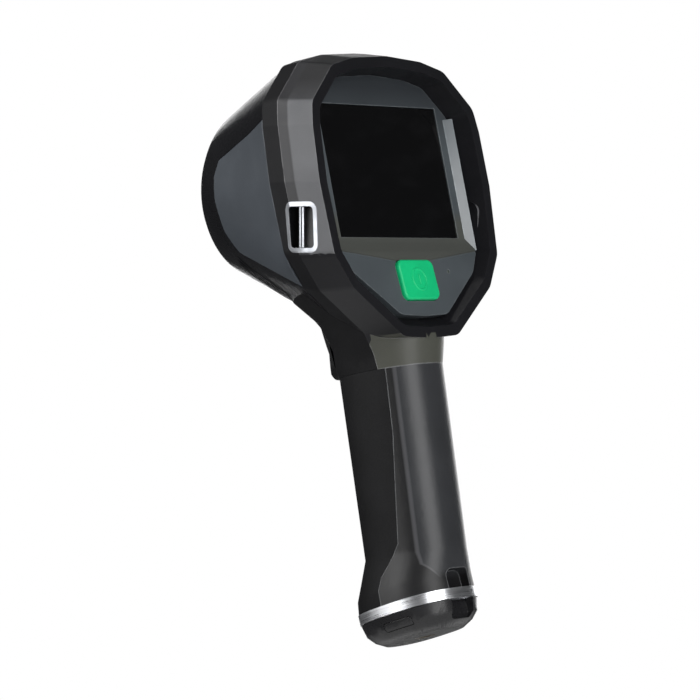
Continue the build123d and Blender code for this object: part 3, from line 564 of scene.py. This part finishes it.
# Near-black finish: the hood lip's own colour, also used as painted shade on the recess walls and the
# down-facing facets.
LIP_AND_PAINTED_SHADE = moulded("lip", (0.008, 0.008, 0.0095), 0.36, 2600, 0.00003, 0.5, 0.28)
# Painted highlight: a light grey copy of the slate panel finish, standing in for the light the chamfers
# catch.
CHAMFER_HIGHLIGHT = moulded("chamfer", (0.13, 0.145, 0.155), 0.34, 2600, 0.00003, 0.5, 0.5)


def dress(piece, slot):
    """Gives the piece its finish."""
    piece.data.materials.clear()
    piece.data.materials.append(FINISHES[slot])
    for face in piece.data.polygons:
        face.material_index = 0


def second_finish(piece, finish, wanted):
    """Gives another finish to the faces that wanted(centre, normal) accepts."""
    piece.data.materials.append(finish)
    index = len(piece.data.materials) - 1
    for face in piece.data.polygons:
        if wanted(face.center, face.normal):
            face.material_index = index


def fit(piece, body, slot, *nodes):
    """The piece rides on its body, takes its slot's finish, and stands for the nodes."""
    dress(piece, slot)
    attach(piece, body)
    if nodes:
        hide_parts(*nodes)
    return piece


def body_of(node):
    """The moving body that the node belongs to."""
    return frame["nodes"][node]["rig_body"]


# ---- the shells ----------------------------------------------------------------------------------

# Outer nodes, each with the width of its rounded edges.
SHELLS = {
    "hood_plastic": {"rear_housing": 0.0006},
    "bumper_rubber": {"hood_bumper": 0.0007, "front_bumper": 0.0008},
    "black_plastic": {"front_housing": 0.0006},
    "panel_plastic": {"side_panel_left": 0.0006, "side_panel_right": 0.0006},
    "bezel_plastic": {"bezel_panel": 0.0006},
    "screen_glass": {"screen_window": 0.0002},
    "button_rubber": {"power_button": 0.0008},
    "light_plastic": {"status_light": 0.0002},
    "bright_metal": {"strap_bezel_left": 0.0007, "strap_bezel_right": 0.0007, "strap_pins": 0.0003},
    "dark_metal": {"lens_barrel": 0.0005},
    "lens_glass": {"objective_lens": 0.0003},
    "grip_plastic": {"grip_rear_shell": 0.0005},
    "grip_rubber": {"grip_front": 0.0006, "neck_front": 0.0005, "neck_pad": 0.0006},
    "band_steel": {"foot_band": 0.0004},
    "cap_plastic": {"base_cap": 0.0005, "latch_left": 0.0004, "latch_right": 0.0004},
    "insert_brass": {"tripod_insert": 0.0003},
    "battery_plastic": {"battery": 0.0006},
}

# Inner nodes keep their own mesh and only take a finish.
PLAIN = {
    "seal_rubber": ["lens_seal", "screen_gasket", "cap_seal"],
    "circuit": ["main_board", "switch_board"],
    "lens_glass": ["rear_lens"],
    "dark_metal": ["shutter_housing", "shutter_flag"],
    "liner_plastic": ["battery_tube"],
    "contact_brass": ["battery_contacts"],
    "screw_steel": ["board_screws", "foot_screws"],
    "frame_metal": ["chassis", "lcd_module"],
    "core_metal": ["detector_core", "shutter_motor"],
}


def in_recess_or_under(centre, normal):
    """The hood's lip, the walls of its recess, and the facets that face down: the lip is dark in its own
    colour, and the walls and down-facing facets take painted shade.
    """
    rim, rim_normal = RIM_SIDE
    behind = (centre - rim).dot(rim_normal)
    out = centre - SCREEN_MIDDLE
    out -= AHEAD * out.dot(AHEAD)
    if behind > -0.0015 and normal.dot(rim_normal) > 0.85 and centre.z > LIP_LOW:
        return True
    if centre.z > RECESS_LOW and normal.dot(out.normalized()) < -0.2:
        return True
    return normal.z < -0.3 and normal.y > -0.2 and centre.z > UNDERSIDE_LOW


def panel_edge(centre, normal):
    """The chamfers round the display panel and its opening."""
    return 0.2 < -normal.y < 0.93 and centre.z > CHIN_TOP


def inside_cup(centre, normal):
    """The inner walls and the floor of a strap anchor's cup."""
    return abs(centre.x) < CUP_FLOOR or (normal.x * centre.x < 0)


RIM_SIDE = side_facing("rear_housing", -AHEAD)


def shells():
    """Puts a rounded copy in place of each outer node, and finishes the inner ones."""
    for slot, nodes in SHELLS.items():
        for node, edge in nodes.items():
            body = body_of(node)
            piece = fit(rounded(node, edge), body, slot, node)
            if node == "rear_housing":
                # The lip's own dark colour, and painted shade on the recess walls and down-facing facets.
                second_finish(piece, LIP_AND_PAINTED_SHADE, in_recess_or_under)
            if node == "bezel_panel":
                # The chamfers round the panel take the painted highlight finish.
                second_finish(piece, CHAMFER_HIGHLIGHT, panel_edge)
            if node.startswith("strap_bezel"):
                second_finish(piece, FINISHES["black_plastic"], inside_cup)
    for slot, nodes in PLAIN.items():
        for node in nodes:
            dress(frame["nodes"][node], slot)


# ---- the button's raised sign --------------------------------------------------------------------

def button_sign():
    """An oval ring with an upright bar, raised a little above the button's face."""
    middle, normal = side_facing("power_button", -AHEAD)
    top = reach("power_button", normal)[1]
    middle += normal * (top - middle.dot(normal))
    upright = (HEAD_UP - normal * HEAD_UP.dot(normal)).normalized()
    turn = Matrix((ACROSS, upright, ACROSS.cross(upright))).transposed().to_4x4()
    nothing_selected()
    bpy.ops.mesh.primitive_torus_add(
        major_radius=0.0044, minor_radius=0.00055, major_segments=48, minor_segments=12)
    ring = added("sign_ring")
    edit_all(ring)
    bpy.ops.transform.resize(value=(1.05, 1.15, 0.8))
    done()
    sign = joined("button_sign", [ring, bar("sign_bar", (0.0011, 0.0046, 0.001), 0.0004)])
    sign.data.transform(Matrix.Translation(middle) @ turn)
    smooth(sign, 40)
    fit(sign, body_of("power_button"), "button_rubber")


# ---- the lens's trim ------------------------------------------------------------------------------

def lens_trim():
    """A slim retaining ring over the lens's edge, with two key slots."""
    width, height, slot_half_width, slot_depth = 0.0024, 0.0008, 0.0013, 0.0005
    corners = frame["nodes"]["objective_lens"].data.vertices
    middle = sum((v.co for v in corners), Vector()) / len(corners)
    middle += AHEAD * (reach("objective_lens", AHEAD)[1] - middle.dot(AHEAD))
    radius = max((v.co - middle - AHEAD * (v.co - middle).dot(AHEAD)).length for v in corners)
    nothing_selected()
    bpy.ops.mesh.primitive_circle_add(vertices=96, radius=radius)
    ring = added("lens_trim")
    edit_all(ring)
    bpy.ops.mesh.extrude_region_move()
    bpy.ops.transform.resize(value=(1 - width / radius, 1 - width / radius, 1))
    bpy.ops.mesh.select_all(action="SELECT")
    bpy.ops.mesh.extrude_region_move(TRANSFORM_OT_translate={"value": (0, 0, height)})
    bpy.ops.mesh.select_all(action="SELECT")
    bpy.ops.mesh.normals_make_consistent(inside=False)
    done()
    pick_faces(ring, lambda centre, normal: normal.z > 0.9 and abs(centre.x) < slot_half_width)
    bpy.ops.mesh.extrude_region_move(TRANSFORM_OT_translate={"value": (0, 0, -slot_depth)})
    done()
    turn = Vector((0, 0, 1)).rotation_difference(AHEAD).to_matrix().to_4x4()
    ring.data.transform(Matrix.Translation(middle - AHEAD * 0.0001) @ turn)
    round_edges(ring, 0.00015)
    smooth(ring, 30)
    fit(ring, "root", "dark_metal")


# ---- small moulded details ----------------------------------------------------------------------

def recess_chamfers():
    """The chamfer down each side of the recess, where the display panel meets the hood's wall, painted bright
    as a highlight.
    """
    wide, tall, long = 0.0042, 0.003, 0.064
    aside, back, up = 0.0481, -0.0459, 0.204
    lean = Matrix.Rotation(math.radians(4.36), 4, "X")
    for side, name in ((-1, "left"), (1, "right")):
        nothing_selected()
        bpy.ops.mesh.primitive_cube_add(size=1)
        strip = added("recess_chamfer_" + name)
        edit_all(strip)
        bpy.ops.transform.resize(value=(wide, tall, long))
        done()
        for vertex in strip.data.vertices:
            if vertex.co.x * side < 0 and vertex.co.y < 0:
                vertex.co.y = tall / 2
        edit_all(strip)
        bpy.ops.mesh.remove_doubles(threshold=0.00001)
        bpy.ops.mesh.normals_make_consistent(inside=False)
        done()
        strip.data.transform(Matrix.Translation((side * aside, back, up)) @ lean)
        round_edges(strip, 0.0003)
        smooth(strip, 30)
        fit(strip, "root", "bezel_plastic")
        # The strip takes the painted highlight finish.
        strip.data.materials[0] = CHAMFER_HIGHLIGHT


def side_ribs():
    """Fine parallel ribs under each side panel, laid onto the front housing."""
    housing = frame["nodes"]["front_housing"]
    rows, thick, long, edge = 4, 0.0009, 0.03, 0.0003
    cuts, spacing = 11, 0.00125
    first, next_row = Vector((0, 0.0185, 0.1795)), Vector((0, 0.0017, -0.0013))
    lean = Matrix.Rotation(math.radians(-34), 4, "X")
    for side, name in ((-1, "left"), (1, "right")):
        ribs = []
        for row in range(rows):
            rib = bar("rib", (thick, thick, long), edge)
            edit(rib)
            for level in range(-cuts, cuts + 1):
                bpy.ops.mesh.select_all(action="SELECT")
                bpy.ops.mesh.bisect(plane_co=(0, 0, level * spacing), plane_no=(0, 0, 1))
            done()
            rib.data.transform(Matrix.Translation(first + next_row * row) @ lean)
            for vertex in rib.data.vertices:
                hit, point, _, _ = housing.ray_cast(
                    Vector((side * 0.1, vertex.co.y, vertex.co.z)), Vector((-side, 0, 0)))
                if hit:
                    vertex.co.x = point.x + vertex.co.x
                else:
                    outside = Vector((side * 0.06, vertex.co.y, vertex.co.z))
                    vertex.co = housing.closest_point_on_mesh(outside)[1]
            ribs.append(rib)
        piece = joined("side_ribs_" + name, ribs)
        smooth(piece, 30)
        fit(piece, "root", "black_plastic")


# ---- camera, light and floor ---------------------------------------------------------------------

VIEW_FROM = Vector((-1.2171, -1.0188, -0.1519))
VIEW_ALONG = Vector((0.7533, 0.6325, 0.1798)).normalized()
VIEW_UP = Vector((0.0184, -0.2937, 0.9557))


def camera():
    """A long lens, set back behind the object and a little to its left."""
    data = bpy.data.cameras.new("camera")
    data.lens = 178.2
    data.sensor_width = 36
    data.clip_end = 20
    seen = bpy.data.objects.new("camera", data)
    right = VIEW_ALONG.cross(VIEW_UP).normalized()
    turn = Matrix((right, right.cross(VIEW_ALONG), -VIEW_ALONG)).transposed().to_4x4()
    seen.matrix_world = Matrix.Translation(VIEW_FROM) @ turn
    bpy.context.scene.collection.objects.link(seen)
    bpy.context.scene.camera = seen


def lamp(name, right, up, back, width, height, power):
    """A soft panel aimed at the object's middle, and placed from it along the view's own directions."""
    across = VIEW_ALONG.cross(VIEW_UP).normalized()
    over = across.cross(VIEW_ALONG)
    data = bpy.data.lights.new(name, "AREA")
    data.shape = "RECTANGLE"
    data.size = width
    data.size_y = height
    data.energy = power
    light = bpy.data.objects.new(name, data)
    light.location = OBJECT_MIDDLE + across * right + over * up - VIEW_ALONG * back
    light.rotation_mode = "QUATERNION"
    light.rotation_quaternion = (light.location - OBJECT_MIDDLE).to_track_quat("Z", "Y")
    bpy.context.scene.collection.objects.link(light)


def surroundings():
    """Even pale surroundings that look white behind the object and light it gently."""
    world = bpy.data.worlds.new("studio")
    bpy.context.scene.world = world
    world.use_nodes = True
    tree = world.node_tree
    tree.nodes.clear()
    output = tree.nodes.new("ShaderNodeOutputWorld")
    choice = tree.nodes.new("ShaderNodeMixShader")
    path = tree.nodes.new("ShaderNodeLightPath")
    gentle = tree.nodes.new("ShaderNodeBackground")
    gentle.inputs[0].default_value = (0.95, 0.97, 1, 1)
    gentle.inputs[1].default_value = 0.06
    bright = tree.nodes.new("ShaderNodeBackground")
    bright.inputs[0].default_value = (1, 1, 1, 1)
    bright.inputs[1].default_value = 1.0
    tree.links.new(path.outputs["Is Camera Ray"], choice.inputs[0])
    tree.links.new(gentle.outputs[0], choice.inputs[1])
    tree.links.new(bright.outputs[0], choice.inputs[2])
    tree.links.new(choice.outputs[0], output.inputs[0])


def floor():
    """A wide pale floor, which glows a little towards the camera."""
    nothing_selected()
    bpy.ops.mesh.primitive_plane_add(size=8, location=(0, 0, FLOOR_HEIGHT))
    ground = added("floor")
    f = Finish("pale_floor")
    clouds = f.spread(f.noise(3, 4), 0.35, 0.65)
    f.set(
        Base_Color=f.mix(clouds, (0.7, 0.7, 0.7, 1), (0.76, 0.76, 0.76, 1)),
        Roughness=0.6 + clouds * 0.1,
    )
    seen = f.node("ShaderNodeLightPath", output="Is Camera Ray")
    glow = f.node("ShaderNodeEmission", None, {"Color": (0.86, 0.86, 0.87, 1)})
    both = f.node("ShaderNodeMixShader", None, {0: seen * 0.75, 1: Value(f, f.shader.outputs[0]), 2: glow})
    output = next(node for node in f.tree.nodes if node.type == "OUTPUT_MATERIAL")
    f.put(output.inputs[0], both)
    ground.data.materials.append(f.material)


bpy.context.scene.view_settings.view_transform = "Standard"
side_ribs()
lens_trim()
button_sign()
recess_chamfers()
shells()
camera()
lamp("rear", 0.5, 0.25, 1.0, 0.9, 0.9, 15)
lamp("left", -0.85, 0.35, 0.2, 0.55, 1.1, 11)
lamp("overhead", -0.2, 1.1, -0.2, 0.6, 0.6, 2)
lamp("front", 0.3, 0.15, -1.3, 1.4, 1.0, 13)
surroundings()
floor()
